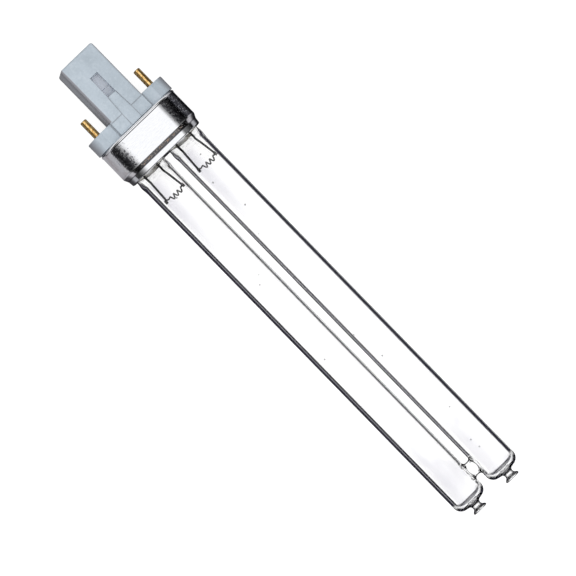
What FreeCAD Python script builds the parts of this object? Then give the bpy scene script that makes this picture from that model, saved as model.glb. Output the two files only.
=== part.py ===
import FreeCAD, Part
import math
import os
from FreeCAD import Vector as V, Placement, Rotation

os.makedirs("parts", exist_ok=True)

# ---------------------------------------------------------------- driving dimensions (mm)
# Everything is drawn in the lamp's own axes first: x runs along the lamp, 0 at the shoulder
# plane that the pins stand out of and growing towards the glass tips, y runs across the two
# pins, z across the thin way with the latch channel on top. The finished pieces are then laid
# down as the lamp comes to rest on a flat surface.
PIN_SPACING = 23.0        # standard two-pin cap
PIN_D = 2.35
PIN_OUT = 6.7             # free length of a pin
PIN_BORE = 1.15
PIN_SHANK_D = 2.8
PIN_FLANGE_D = 3.7
PIN_TIP_R = 0.35

POST_LEN = 22.2           # post above the shoulder plane
POST_HALF_Y = 6.74        # half width of the front and back faces
POST_BELLY = 0.16         # draft of each half towards the parting line at mid depth
POST_HALF_Z = 8.90
POST_EDGE_R = 0.85
POST_WALL = 1.25
CHANNEL_TOP_Y = 1.53      # half width of the latch channel, front and back, where it starts,
CHANNEL_MID_Y = 1.65      # at the end of its pocket
CHANNEL_HALF_Y = 1.97     # and at the neck

PLAT_H = 5.1              # height of the pin platforms and of the neck
PLAT_FLAT_Z = 7.30
PLAT_FLAT_Y = 10.6
PLAT_FACET_Y = 12.9
PLAT_FACET_Z = 5.90
PLAT_END_Y = 15.6
PLUG_END_X = 9.0

SHELL_HALF_Y = 15.2
SHELL_HALF_Z = 9.0
SHELL_WALL = 0.45
SHELL_TOP_X = 5.1
SHELL_WALL_END_X = 15.4
SHELL_STEP_X = 16.85
SHELL_END_X = 18.8
SHELL_STEP_OFF = -0.72
SHELL_END_OFF = -0.93
SHELL_BEAD = 0.15
SHELL_HOLE_OFF = -1.9     # opening in the rolled top flange
TUBE_HOLE_R = 6.05

TUBE_R = 5.75
TUBE_WALL = 0.95
TUBE_Y = 7.05             # half of the distance between the two legs' axes
TUBE_END_X = 162.8
TUBE_END_CORNER_R = 2.9
PRESS_END_X = 10.2
PRESS_HALF_Z = 1.45
BRIDGE_X = 154.6
BRIDGE_R = 2.65
BRIDGE_BORE_R = 1.75
BRIDGE_FILLET = 0.9
STUB_NECK_R = 1.6
STUB_RIM_R = 2.55
STUB_END_X = 165.55
STUB_BORE_R = 0.95

FILAMENT_X = 29.3
LEAD_D = 0.70
CRIMP = (1.40, 0.90, 0.80)   # flattened end of a lead wire, closed over the filament's tail
FILAMENT_WIRE_D = 0.46
COIL_R = 0.72
COIL_PITCH = 1.5
COIL_TURNS = 3

STARTER_Y = -1.9
STARTER_R = 3.3
CAP_BODY = (10.0, 3.2, 9.0)

TUBE_RI = TUBE_R - TUBE_WALL
SHELL_C = SHELL_HALF_Y - SHELL_HALF_Z    # centre of each round end of the shell's outline


# ---------------------------------------------------------------- helpers
def face(points):
    return Part.Face(Part.makePolygon([V(*p) for p in points] + [V(*points[0])]))


def prism_y(points_xz, half_y, y0=0.0):
    """Closed polygon in the xz plane, extruded across y."""
    f = face([(x, y0 - half_y, z) for x, z in points_xz])
    return f.extrude(V(0, 2 * half_y, 0))


def hull_solid(faces):
    shell = Part.makeShell([face(f) for f in faces])
    shell.sewShape()
    s = Part.Solid(shell)
    if s.Volume < 0:
        s.reverse()
    return s


def clean(s):
    """Merge faces that lie on one surface, where that is possible."""
    try:
        t = s.removeSplitter()
        if t.isValid() and abs(t.Volume - s.Volume) < 1e-3 * abs(s.Volume):
            return t
    except Exception as err:
        print("faces not merged:", err)
    return s


def stadium_wire(x, off):
    r = SHELL_HALF_Z + off
    c = SHELL_C
    p = [V(x, -c, r), V(x, c, r), V(x, c, -r), V(x, -c, -r)]
    return Part.Wire([
        Part.makeLine(p[0], p[1]),
        Part.Arc(p[1], V(x, c + r, 0), p[2]).toShape(),
        Part.makeLine(p[2], p[3]),
        Part.Arc(p[3], V(x, -c - r, 0), p[0]).toShape()])


def stadium(x0, x1, off):
    return Part.Face(stadium_wire(x0, off)).extrude(V(x1 - x0, 0, 0))


def ring_of(profile_edges):
    """Closed section in (x, offset from the shell's outline), run once round the outline."""
    w = Part.Wire(Part.__sortEdges__(profile_edges))
    f0 = Part.Face(w)
    if not f0.isValid():
        f0.validate()
    up = f0.copy()
    up.translate(V(0, -SHELL_C, 0))
    top = up.extrude(V(0, 2 * SHELL_C, 0))
    bottom = top.copy()
    bottom.rotate(V(0, 0, 0), V(1, 0, 0), 180)
    right = f0.copy()
    right.translate(V(0, SHELL_C, 0))
    right = right.revolve(V(0, SHELL_C, 0), V(1, 0, 0), -180)
    left = f0.copy()
    left.translate(V(0, -SHELL_C, 0))
    left = left.revolve(V(0, -SHELL_C, 0), V(1, 0, 0), 180)
    out = top.fuse([right, bottom, left])
    return clean(out)


def path_wire(points, radii):
    """Straight runs joined by tangent arcs; radii has one entry for each inner point."""
    pts = [V(*p) for p in points]
    edges = []
    cur = pts[0]
    for i in range(1, len(pts) - 1):
        a, b, c = pts[i - 1], pts[i], pts[i + 1]
        d1 = (b - a).normalize()
        d2 = (c - b).normalize()
        turn = math.acos(max(-1.0, min(1.0, d1.dot(d2))))
        r = radii[i - 1] if isinstance(radii, (list, tuple)) else radii
        t = r * math.tan(turn / 2)
        t = min(t, 0.47 * (b - a).Length, 0.47 * (c - b).Length)
        r = t / math.tan(turn / 2)
        p = b - d1 * t
        q = b + d2 * t
        mid_dir = (d2 - d1).normalize()
        centre = b + mid_dir * (r / math.cos(turn / 2))
        m = centre - mid_dir * r
        edges.append(Part.makeLine(cur, p))
        edges.append(Part.Arc(p, m, q).toShape())
        cur = q
    edges.append(Part.makeLine(cur, pts[-1]))
    return Part.Wire(edges)


def rod(points, radii, d):
    w = path_wire(points, radii)
    start = V(*points[0])
    direction = (V(*points[1]) - start).normalize()
    section = Part.Wire(Part.makeCircle(d / 2, start, direction))
    return w.makePipeShell([section], True, False)


def turned(points_xr, y0=0.0):
    """Solid of revolution about an axis along x at y = y0, from points (x, radius)."""
    f = face([(x, y0, r) for x, r in points_xr])
    return f.revolve(V(0, y0, 0), V(1, 0, 0), 360)


def turned_edges(edges, y0=0.0):
    f = Part.Face(Part.Wire(Part.__sortEdges__(edges)))
    f.translate(V(0, y0, 0))
    return f.revolve(V(0, y0, 0), V(1, 0, 0), 360)


def xr(x, r):
    return V(x, 0, r)


def line(a, b):
    return Part.makeLine(a, b)


def arc(a, m, b):
    return Part.Arc(a, m, b).toShape()


def corner_arc(cx, cr, rad, a0, a1):
    """Arc in the xr plane about (cx, cr); angles in degrees from +x towards +r."""
    def pt(a):
        return xr(cx + rad * math.cos(math.radians(a)), cr + rad * math.sin(math.radians(a)))
    return arc(pt(a0), pt((a0 + a1) / 2), pt(a1)), pt(a0), pt(a1)


nodes = {}

# ---------------------------------------------------------------- base_housing
# Post: a rounded block whose narrow sides swell to a parting line at mid depth. The neck
# between the platforms is its straight continuation down to the shell rim.
xe = -POST_LEN
hy, hz, bel = POST_HALF_Y, POST_HALF_Z, POST_BELLY
post = Part.makeBox(POST_LEN + PLAT_H, 2 * hy, 2 * hz, V(xe, -hy, -hz))
post = post.makeFillet(POST_EDGE_R, [e for e in post.Edges if min(v.X for v in e.Vertexes) < xe + 0.01])
for s in (-1, 1):
    x0, x1, x2, zb = xe + 0.86, xe + 1.7, PLAT_H, hz - 0.87
    yb, yi, yt = s * (hy - 0.004), s * (hy - 0.5), s * (hy + bel)
    a, b, c, d = (x0, yb, zb), (x0, yb, -zb), (x2, yb, zb), (x2, yb, -zb)
    ai, bi, ci, di = (x0, yi, zb), (x0, yi, -zb), (x2, yi, zb), (x2, yi, -zb)
    e, f = (x1, yt, 0), (x2, yt, 0)
    swell = hull_solid([[a, e, f, c], [b, d, f, e], [a, b, e], [c, f, d, di, ci], [a, c, ci, ai],
                        [b, bi, di, d], [a, ai, bi, b], [ai, ci, di, bi]])
    post = post.fuse(swell)

# Pin platforms: flat front, one facet, rounded end.
fy, fz, gy, gz, ey = PLAT_FLAT_Y, PLAT_FLAT_Z, PLAT_FACET_Y, PLAT_FACET_Z, PLAT_END_Y
pw = Part.Wire([
    line(V(0, -fy, fz), V(0, fy, fz)), line(V(0, fy, fz), V(0, gy, gz)),
    arc(V(0, gy, gz), V(0, ey, 0), V(0, gy, -gz)), line(V(0, gy, -gz), V(0, fy, -fz)),
    line(V(0, fy, -fz), V(0, -fy, -fz)), line(V(0, -fy, -fz), V(0, -gy, -gz)),
    arc(V(0, -gy, -gz), V(0, -ey, 0), V(0, -gy, gz)), line(V(0, -gy, gz), V(0, -fy, fz))])
platform = Part.Face(pw).extrude(V(PLAT_H, 0, 0))
platform = platform.makeFillet(0.2, [e for e in platform.Edges
                                      if max(v.X for v in e.Vertexes) < 0.01])

plug = stadium(PLAT_H - 0.5, PLUG_END_X, SHELL_HOLE_OFF - 0.1)
ridge = ring_of([
    line(xr(SHELL_TOP_X + SHELL_WALL + 0.05, SHELL_HALF_Z - 2.4), xr(SHELL_TOP_X + SHELL_WALL + 0.05, SHELL_HALF_Z - 1.35)),
    line(xr(SHELL_TOP_X + SHELL_WALL + 0.05, SHELL_HALF_Z - 1.35), xr(7.2, SHELL_HALF_Z - 2.0)),
    line(xr(7.2, SHELL_HALF_Z - 2.0), xr(7.2, SHELL_HALF_Z - 2.4)),
    line(xr(7.2, SHELL_HALF_Z - 2.4), xr(SHELL_TOP_X + SHELL_WALL + 0.05, SHELL_HALF_Z - 2.4))])
outer = clean(post.fuse([platform, plug, ridge]))

# Hollow inside: post room, with ribs left behind the latch channel, and platform room.
cav_y, cav_z = 5.5, POST_HALF_Z - POST_WALL
room = Part.makeBox(21.0 + PLUG_END_X, 2 * cav_y, 2 * cav_z, V(-21.0, -cav_y, -cav_z))
for sgn in (1, -1):
    z0 = 5.05 if sgn > 0 else -5.05 - 6
    room = room.cut(Part.makeBox(13.2, 6.1, 6, V(-17.4, -3.05, z0)))
room = room.common(Part.makeBox(21.0 + PLUG_END_X, 30, 2 * cav_z, V(-21.0, -15, -cav_z)))
low = stadium(1.6, PLUG_END_X, SHELL_HOLE_OFF - 1.3)
room_post = room.common(Part.makeBox(21.0 + PLAT_H - 1.4, 20, 20, V(-21.0, -10, -10)))
bosses = []
for s in (-1, 1):
    bosses.append(Part.makeCylinder(2.6, 5.2, V(1.2, s * PIN_SPACING / 2, 0), V(1, 0, 0)))
low = low.cut(bosses[0]).cut(bosses[1])
cavity = room_post.fuse(low)
base = outer.cut(cavity)

# Latch channel, front and back: a deep steep-sided pocket with a low step in its floor, then a
# shallow ramp that climbs back towards the surface at the shell rim. It widens a little on the way.
top_z = POST_HALF_Z + 1
channel = [(-14.32, top_z), (-14.3, POST_HALF_Z + 0.001), (-14.0, 6.75), (-9.2, 6.55), (-9.05, 6.20),
           (-6.13, 6.20), (-6.13, 8.42), (PLAT_H - 0.25, 8.80), (PLAT_H - 0.25, top_z)]
outline = [(-16.0, 1.52), (-14.3, CHANNEL_TOP_Y), (-6.13, CHANNEL_MID_Y), (0.4, CHANNEL_HALF_Y), (PLAT_H + 1.0, CHANNEL_HALF_Y)]
plan = face([(x, -y, -20) for x, y in outline] + [(x, y, -20) for x, y in reversed(outline)]).extrude(V(0, 0, 40))
for s in (1, -1):
    base = base.cut(prism_y([(x, s * z) for x, z in channel], 4.0).common(plan))
    for t in (1, -1):
        # side panels of the neck, a step below the post's face and sloping a little further in
        y0 = (CHANNEL_HALF_Y + 7.6) / 2 * t
        panel = [(0.4, top_z), (0.4, POST_HALF_Z - 0.20), (PLAT_H - 0.25, POST_HALF_Z - 0.36), (PLAT_H - 0.25, top_z)]
        base = base.cut(prism_y([(x, s * z) for x, z in panel], (7.6 - CHANNEL_HALF_Y) / 2, y0))

for s in (-1, 1):
    y = s * PIN_SPACING / 2
    base = base.cut(Part.makeCylinder(PIN_SHANK_D / 2, 6.4, V(0.0, y, 0), V(1, 0, 0)))
    base = base.cut(Part.makeCylinder(PIN_FLANGE_D / 2, 4.0, V(6.4, y, 0), V(1, 0, 0)))
nodes["base_housing"] = clean(base)

# ---------------------------------------------------------------- contact pins
for name, s in (("contact_pin_left", -1), ("contact_pin_right", 1)):
    y = s * PIN_SPACING / 2
    r, b = PIN_D / 2, PIN_BORE / 2
    tip = -PIN_OUT
    t_arc, pa, pb = corner_arc(tip + PIN_TIP_R, r - PIN_TIP_R, PIN_TIP_R, 180, 90)
    ed = [line(xr(tip, b + 0.12), pa), t_arc, line(pb, xr(0, r)), line(xr(0, r), xr(0, PIN_SHANK_D / 2)),
          line(xr(0, PIN_SHANK_D / 2), xr(6.4, PIN_SHANK_D / 2)), line(xr(6.4, PIN_SHANK_D / 2), xr(6.4, PIN_FLANGE_D / 2)),
          line(xr(6.4, PIN_FLANGE_D / 2), xr(6.85, PIN_FLANGE_D / 2)), line(xr(6.85, PIN_FLANGE_D / 2), xr(6.85, b)),
          line(xr(6.85, b), xr(tip + 0.12, b)), line(xr(tip + 0.12, b), xr(tip, b + 0.12))]
    nodes[name] = turned_edges(ed, y)

# ---------------------------------------------------------------- metal_shell
R0 = SHELL_HALF_Z
T = SHELL_WALL
top_x, wx, sx, ex = SHELL_TOP_X, SHELL_WALL_END_X, SHELL_STEP_X, SHELL_END_X
so, eo, bead = SHELL_STEP_OFF, SHELL_END_OFF, SHELL_BEAD
roll = 1.0
# outer skin, from the inner edge of the top flange to the inner edge of the bottom lip
o1 = xr(top_x, R0 + SHELL_HOLE_OFF)
o2 = xr(top_x, R0 + bead - roll)
o3 = xr(top_x + roll, R0 + bead)
om = xr(top_x + roll * (1 - math.sqrt(0.5)), R0 + bead - roll * (1 - math.sqrt(0.5)))
o4 = xr(top_x + roll + 0.26, R0 - 0.03)   # the rolled rim ends in a fine step
o5 = xr(wx, R0)
o6 = xr(sx, R0 + so)
o7 = xr(ex - 0.4, R0 + eo + 0.02)
o8 = xr(ex, R0 + eo - 0.4)
o9 = xr(ex, R0 - 2.6)
i9 = xr(ex - T, R0 - 2.6)
i8 = xr(ex - T, R0 + eo - T)
i6 = xr(sx + 0.05, R0 + so - T)
i5 = xr(wx - 0.2, R0 - T)
i4 = xr(top_x + T + 0.45, R0 - T)
i3 = xr(top_x + T, R0 - T - 0.45)
i1 = xr(top_x + T, R0 + SHELL_HOLE_OFF)
k = math.sqrt(0.5)
o78m = xr(ex - 0.4 + 0.4 * k, R0 + eo - 0.4 + 0.41 * k)
ring = ring_of([line(o1, o2), arc(o2, om, o3), line(o3, o4), line(o4, o5), line(o5, o6), line(o6, o7),
                arc(o7, o78m, o8), line(o8, o9), line(o9, i9), line(i9, i8), line(i8, i6), line(i6, i5),
                line(i5, i4), line(i4, i3), line(i3, i1), line(i1, o1)])
plate = stadium(ex - T, ex, -2.2)
shell = clean(ring.fuse(plate))
for s in (-1, 1):
    shell = shell.cut(Part.makeCylinder(TUBE_HOLE_R, 3, V(ex - 2, s * TUBE_Y, 0), V(1, 0, 0)))
nodes["metal_shell"] = clean(shell)

# ---------------------------------------------------------------- glass_envelope
# Each leg: a tube whose far end is a nearly flat dome with a flared stub, and whose near end is
# pinched flat over the two lead wires.
cr = TUBE_END_CORNER_R
ex2 = TUBE_END_X
dome = 0.25


def leg_outer(y0):
    c_arc, pa, pb = corner_arc(ex2 - dome - cr, TUBE_R - cr, cr, 90, 8)
    root = xr(ex2 - 0.02, STUB_NECK_R)
    ed = [line(xr(PRESS_END_X, 0), xr(PRESS_END_X, TUBE_R)),
          line(xr(PRESS_END_X, TUBE_R), xr(19.3, TUBE_R)),
          arc(xr(19.3, TUBE_R), xr(21.3, TUBE_R + 0.22), xr(23.6, TUBE_R)),
          line(xr(23.6, TUBE_R), pa), c_arc,
          line(pb, root),
          arc(root, xr(ex2 + 1.25, STUB_NECK_R - 0.12), xr(STUB_END_X - 1.15, STUB_NECK_R + 0.1)),
          arc(xr(STUB_END_X - 1.15, STUB_NECK_R + 0.1), xr(STUB_END_X - 0.85, STUB_NECK_R + 0.55),
              xr(STUB_END_X - 0.7, STUB_RIM_R - 0.12)),
          arc(xr(STUB_END_X - 0.7, STUB_RIM_R - 0.12), xr(STUB_END_X - 0.35, STUB_RIM_R),
              xr(STUB_END_X, STUB_RIM_R - 0.3)),
          line(xr(STUB_END_X, STUB_RIM_R - 0.3), xr(STUB_END_X, 0)),
          line(xr(STUB_END_X, 0), xr(PRESS_END_X, 0))]
    body = turned_edges(ed, y0)
    # pinch: flat press, then two opposite shoulders that swell to the full tube
    h, x1, x2 = PRESS_HALF_Z, 14.6, 20.9
    prof = [line(V(PRESS_END_X - 1, 0, -h), V(PRESS_END_X - 1, 0, h)), line(V(PRESS_END_X - 1, 0, h), V(x1, 0, h)),
            arc(V(x1, 0, h), V(x1 + 2.2, 0, h + 1.0), V(x1 + 3.6, 0, h + 2.4)),
            arc(V(x1 + 3.6, 0, h + 2.4), V(x1 + 4.9, 0, h + 3.75), V(x2, 0, TUBE_R + 0.6)),
            line(V(x2, 0, TUBE_R + 0.6), V(170, 0, TUBE_R + 0.6)), line(V(170, 0, TUBE_R + 0.6), V(170, 0, -TUBE_R - 0.6)),
            line(V(170, 0, -TUBE_R - 0.6), V(x2, 0, -TUBE_R - 0.6)),
            arc(V(x2, 0, -TUBE_R - 0.6), V(x1 + 4.9, 0, -h - 3.75), V(x1 + 3.6, 0, -h - 2.4)),
            arc(V(x1 + 3.6, 0, -h - 2.4), V(x1 + 2.2, 0, -h - 1.0), V(x1, 0, -h)),
            line(V(x1, 0, -h), V(PRESS_END_X - 1, 0, -h))]
    pinch = Part.Face(Part.Wire(Part.__sortEdges__(prof)))
    pinch.translate(V(0, y0 - 7, 0))
    pinch = pinch.extrude(V(0, 14, 0))
    return body.common(pinch)


def leg_inner(y0):
    ri = TUBE_RI
    ci = cr - TUBE_WALL
    xi = ex2 - 1.35
    c_arc, pa, pb = corner_arc(xi - 0.2 - ci, ri - ci, ci, 90, 8)
    ed = [line(xr(14.3, 0), xr(14.3, ri)), line(xr(14.3, ri), pa), c_arc, line(pb, xr(xi, 0.0)), line(xr(xi, 0), xr(14.3, 0))]
    body = turned_edges(ed, y0)
    h, x1, x2 = 0.45, 15.8, 21.4
    prof = [line(V(13, 0, -h), V(13, 0, h)), line(V(13, 0, h), V(x1, 0, h)),
            arc(V(x1, 0, h), V(x1 + 2.1, 0, h + 1.15), V(x1 + 3.5, 0, h + 2.6)),
            arc(V(x1 + 3.5, 0, h + 2.6), V(x1 + 4.5, 0, h + 3.75), V(x2, 0, ri + 0.4)),
            line(V(x2, 0, ri + 0.4), V(170, 0, ri + 0.4)), line(V(170, 0, ri + 0.4), V(170, 0, -ri - 0.4)),
            line(V(170, 0, -ri - 0.4), V(x2, 0, -ri - 0.4)),
            arc(V(x2, 0, -ri - 0.4), V(x1 + 4.5, 0, -h - 3.75), V(x1 + 3.5, 0, -h - 2.6)),
            arc(V(x1 + 3.5, 0, -h - 2.6), V(x1 + 2.1, 0, -h - 1.15), V(x1, 0, -h)),
            line(V(x1, 0, -h), V(13, 0, -h))]
    pinch = Part.Face(Part.Wire(Part.__sortEdges__(prof)))
    pinch.translate(V(0, y0 - 7, 0))
    pinch = pinch.extrude(V(0, 14, 0))
    return body.common(pinch)


legs = [leg_outer(-TUBE_Y), leg_outer(TUBE_Y)]
bridge = Part.makeCylinder(BRIDGE_R, 2 * TUBE_Y, V(BRIDGE_X, -TUBE_Y, 0), V(0, 1, 0))
env = legs[0].fuse([bridge, legs[1]])
bedges = []
for e in env.Edges:
    bb = e.BoundBox
    if (abs(bb.Center.x - BRIDGE_X) < 1.0 and bb.XLength > BRIDGE_R and bb.XLength < 2 * BRIDGE_R + 0.5
            and bb.YMax < 2.6 and bb.YMin > -2.6 and bb.YLength < 1.5):
        bedges.append(e)
try:
    env = env.makeFillet(BRIDGE_FILLET, bedges)
    print("bridge fillet edges", len(bedges))
except Exception as err:
    print("bridge fillet failed", err, len(bedges))
envelope_outer = env
inner = leg_inner(-TUBE_Y).fuse([Part.makeCylinder(BRIDGE_BORE_R, 2 * TUBE_Y, V(BRIDGE_X, -TUBE_Y, 0), V(0, 1, 0)),
                                 leg_inner(TUBE_Y)])
glass = env.cut(inner)
for s in (-1, 1):
    # the flared stub is open from its rim nearly down to the dome
    y = s * TUBE_Y
    glass = glass.cut(turned([(STUB_END_X - 1.5, 0), (STUB_END_X - 1.3, STUB_BORE_R * 0.7), (STUB_END_X - 0.9, STUB_BORE_R),
                              (STUB_END_X + 0.1, STUB_RIM_R - 0.75), (STUB_END_X + 0.1, 0)], y))

# ---------------------------------------------------------------- lead wires and filaments
yl, yr = -TUBE_Y, TUBE_Y
pin_y = PIN_SPACING / 2
lead_paths = {
    "lead_wire_left_outer": ([(FILAMENT_X, yl - 3.0, 0), (18.6, yl - 2.52, 0), (8.9, yl - 2.52, 0), (7.9, -pin_y, 0),
                              (-6.0, -pin_y, 0)], [6.0, 0.7, 0.7], -0.35),
    "lead_wire_left_inner": ([(FILAMENT_X - 0.3, yl + 4.05, 0), (18.6, yl + 2.55, 0), (9.4, yl + 2.55, 0), (5.2, -3.0, 0),
                              (1.4, -3.0, 0)], [6.0, 1.5, 1.5], 0.12),
    "lead_wire_right_inner": ([(FILAMENT_X, yr - 3.2, 0), (18.6, yr - 2.58, 0), (9.5, yr - 2.58, 0), (4.7, -0.8, 0),
                               (1.4, -0.8, 0)], [6.0, 1.2, 1.2], 0.0),
    "lead_wire_right_outer": ([(FILAMENT_X - 0.3, yr + 4.15, 0), (18.6, yr + 2.55, 0), (8.9, yr + 2.55, 0), (7.9, pin_y, 0),
                               (-6.0, pin_y, 0)], [6.0, 0.7, 0.7], 0.05),
}
for name, (pts, rr, crimp_off) in lead_paths.items():
    w = rod(pts, rr, LEAD_D)
    a, b = V(*pts[0]), V(*pts[1])
    crimp = Part.makeBox(CRIMP[0], CRIMP[1], CRIMP[2], V(-CRIMP[0] / 2, -CRIMP[1] / 2, -CRIMP[2] / 2))
    crimp = crimp.makeFillet(0.18, crimp.Edges)
    crimp.rotate(V(0, 0, 0), V(0, 0, 1), math.degrees(math.atan2((a - b).y, (a - b).x)))
    crimp.translate(a + V(0, crimp_off, 0))
    w = clean(w.fuse(crimp))
    nodes[name] = w
    glass = glass.cut(w)
nodes["glass_envelope"] = clean(glass)


def filament(y_a, y_b, y_mid):
    """Tail, a few open turns and a tail, as straight runs joined by tangent arcs."""
    pts = [(FILAMENT_X - 0.3, y_a + LEAD_D / 2, 0.0)]
    span = COIL_TURNS * COIL_PITCH
    n = COIL_TURNS * 8
    ax = FILAMENT_X + 0.35
    y0 = y_mid - span / 2
    pts.append((ax - 0.35, y_a + 0.4 * (y0 - y_a) + 0.2, 0.0))
    for i in range(n + 1):
        a = math.pi + 2 * math.pi * i / 8.0
        pts.append((ax + COIL_R * math.cos(a), y0 + span * i / n, COIL_R * math.sin(a)))
    pts.append((ax - 0.5, y_b - 0.45 * (y_b - y0 - span) - 0.1, 0.0))
    pts.append((FILAMENT_X - 0.45, y_b - LEAD_D / 2, 0.0))
    return rod(pts, 5.0, FILAMENT_WIRE_D)


nodes["filament_left"] = filament(yl - 3.0, yl + 4.05, yl + 0.85)
nodes["filament_right"] = filament(yr - 3.2, yr + 4.15, yr + 0.8)
for side in ("left", "right"):
    for end in ("outer", "inner"):
        nodes["filament_" + side] = nodes["filament_" + side].cut(nodes["lead_wire_%s_%s" % (side, end)])

# ---------------------------------------------------------------- basing_cement
fill = ring_of([line(xr(12.9, 0.0), xr(12.9, R0 - T)), line(xr(12.9, R0 - T), i5), line(i5, i6), line(i6, i8),
                line(i8, xr(ex - T, 0.0)), line(xr(ex - T, 0.0), xr(12.9, 0.0))])
cement = fill.cut(envelope_outer)
nodes["basing_cement"] = clean(cement)

# ---------------------------------------------------------------- glow starter in the post
sy = STARTER_Y
bo = [line(xr(-20.4, 0), xr(-20.0, 0.45)), line(xr(-20.0, 0.45), xr(-19.3, 0.75)),
      arc(xr(-19.3, 0.75), xr(-18.15, 2.45), xr(-16.0, STARTER_R)),
      line(xr(-16.0, STARTER_R), xr(-5.6, STARTER_R)),
      arc(xr(-5.6, STARTER_R), xr(-4.3, 2.85), xr(-3.6, 1.9)), line(xr(-3.6, 1.9), xr(-0.4, 1.9)),
      line(xr(-0.4, 1.9), xr(-0.4, 0)), line(xr(-0.4, 0), xr(-20.4, 0))]
bi = [line(xr(-18.9, 0), xr(-18.6, 0.7)), arc(xr(-18.6, 0.7), xr(-17.7, 1.95), xr(-15.9, STARTER_R - 0.55)),
      line(xr(-15.9, STARTER_R - 0.55), xr(-5.8, STARTER_R - 0.55)),
      arc(xr(-5.8, STARTER_R - 0.55), xr(-5.0, 2.3), xr(-4.4, 1.4)), line(xr(-4.4, 1.4), xr(-4.4, 0)),
      line(xr(-4.4, 0), xr(-18.9, 0))]
bulb = turned_edges(bo, sy).cut(turned_edges(bi, sy))
fixed = rod([(1.4, -3.0, 0), (-4.9, -3.0, 0), (-6.6, -2.75, 0), (-15.4, -2.75, 0)], [2.0, 2.0], 0.5)
stem = rod([(1.4, -0.8, 0), (-6.2, -0.8, 0)], [], 0.5)
# bimetal strip: a U bent from flat strip, its free leg close to the fixed wire
ya, yb, t = -0.55, -1.75, 0.25
xm, ym, rm = -14.0, (ya + yb) / 2, (ya - yb) / 2
ro, ri = rm + t / 2, rm - t / 2


def pxy(x, y):
    return V(x, y, -0.8)


strip = Part.Face(Part.Wire([
    line(pxy(-5.4, ya + t / 2), pxy(xm, ya + t / 2)),
    arc(pxy(xm, ym + ro), pxy(xm - ro, ym), pxy(xm, ym - ro)),
    line(pxy(xm, yb - t / 2), pxy(-8.6, yb - t / 2)), line(pxy(-8.6, yb - t / 2), pxy(-8.6, yb + t / 2)),
    line(pxy(-8.6, yb + t / 2), pxy(xm, yb + t / 2)),
    arc(pxy(xm, ym - ri), pxy(xm - ri, ym), pxy(xm, ym + ri)),
    line(pxy(xm, ya - t / 2), pxy(-5.4, ya - t / 2)), line(pxy(-5.4, ya - t / 2), pxy(-5.4, ya + t / 2))]))
strip = strip.extrude(V(0, 0, 1.6))
bimetal = stem.fuse(strip)
bulb = bulb.cut(fixed).cut(stem)
nodes["starter_bulb"] = bulb
nodes["starter_fixed_electrode"] = fixed
nodes["starter_bimetal_electrode"] = clean(bimetal)

# ---------------------------------------------------------------- suppressor capacitor and its leads
cl, cw, ch = CAP_BODY
cap = Part.makeBox(cl, cw, ch, V(-15.6, 1.95, -ch / 2))
cap = cap.makeFillet(0.6, cap.Edges)
cx, cyy = -5.6, 1.95 + cw / 2
lead_l = rod([(cx, cyy, 2.6), (4.4, cyy, 2.6), (4.4, -3.0, 2.6), (4.4, -3.0, 0.05)], [0.9, 0.9], 0.4)
lead_r = rod([(cx, cyy, -2.6), (3.7, cyy, -2.6), (3.7, -0.8, -2.6), (3.7, -0.8, -0.05)], [0.9, 0.9], 0.4)
lead_l = lead_l.cut(nodes["lead_wire_left_inner"])
lead_r = lead_r.cut(nodes["lead_wire_right_inner"])
nodes["suppressor_capacitor"] = cap
nodes["capacitor_lead_left"] = lead_l
nodes["capacitor_lead_right"] = lead_r

# ---------------------------------------------------------------- sleeves over the welded joints
for name, y in (("insulating_sleeve_left", -3.0), ("insulating_sleeve_right", -0.8)):
    tube = Part.makeCylinder(0.70, 3.3, V(-0.3, y, 0), V(1, 0, 0)).cut(Part.makeCylinder(0.38, 3.5, V(-0.4, y, 0), V(1, 0, 0)))
    nodes[name] = tube

# ---------------------------------------------------------------- laid down at rest
# The lamp lies on the low edge of the shell's wall and on the far ends of both tubes. The
# angle is the one at which these two roundings reach equally low.
c1 = (SHELL_WALL_END_X, -SHELL_HALF_Z, 0.0)
c2 = (TUBE_END_X - dome - cr, -TUBE_R + cr, cr)


def low_of(c, a):
    return -c[0] * math.sin(a) + c[1] * math.cos(a) - c[2]


lo, hi = 0.0, math.radians(5)
for _ in range(80):
    mid = (lo + hi) / 2
    if low_of(c1, mid) < low_of(c2, mid):
        lo = mid
    else:
        hi = mid
TILT = (lo + hi) / 2
lift = -low_of(c1, TILT)
turn = Placement(V(0, 0, 0), Rotation(V(0, 1, 0), math.degrees(TILT)))

placed = {}
for name, s in nodes.items():
    t = s.copy()
    t.transformShape(turn.toMatrix(), True)
    placed[name] = t
x_lo = min(s.optimalBoundingBox(False, False).XMin for s in placed.values())
x_hi = max(s.optimalBoundingBox(False, False).XMax for s in placed.values())
shift = V(-(x_lo + x_hi) / 2, 0, lift)
print("tilt deg %.5f  shift %.5f %.5f %.5f" % (math.degrees(TILT), shift.x, shift.y, shift.z))

total = 0
for name, s in placed.items():
    s.translate(shift)
    solids = s.Solids
    if len(solids) == 1:
        s = solids[0]
    if not s.isValid():
        print("INVALID", name)
    bb = s.optimalBoundingBox(False, False)
    print("%-28s solids %d vol %9.2f  x %.2f..%.2f y %.2f..%.2f z %.3f..%.2f" % (
        name, len(solids), s.Volume, bb.XMin, bb.XMax, bb.YMin, bb.YMax, bb.ZMin, bb.ZMax))
    s.exportStep("parts/%s.step" % name)
    total += 1
print("nodes", total)
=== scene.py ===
import math

import bmesh
import bpy
import numpy as np
from mathutils import Matrix, Vector


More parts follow.
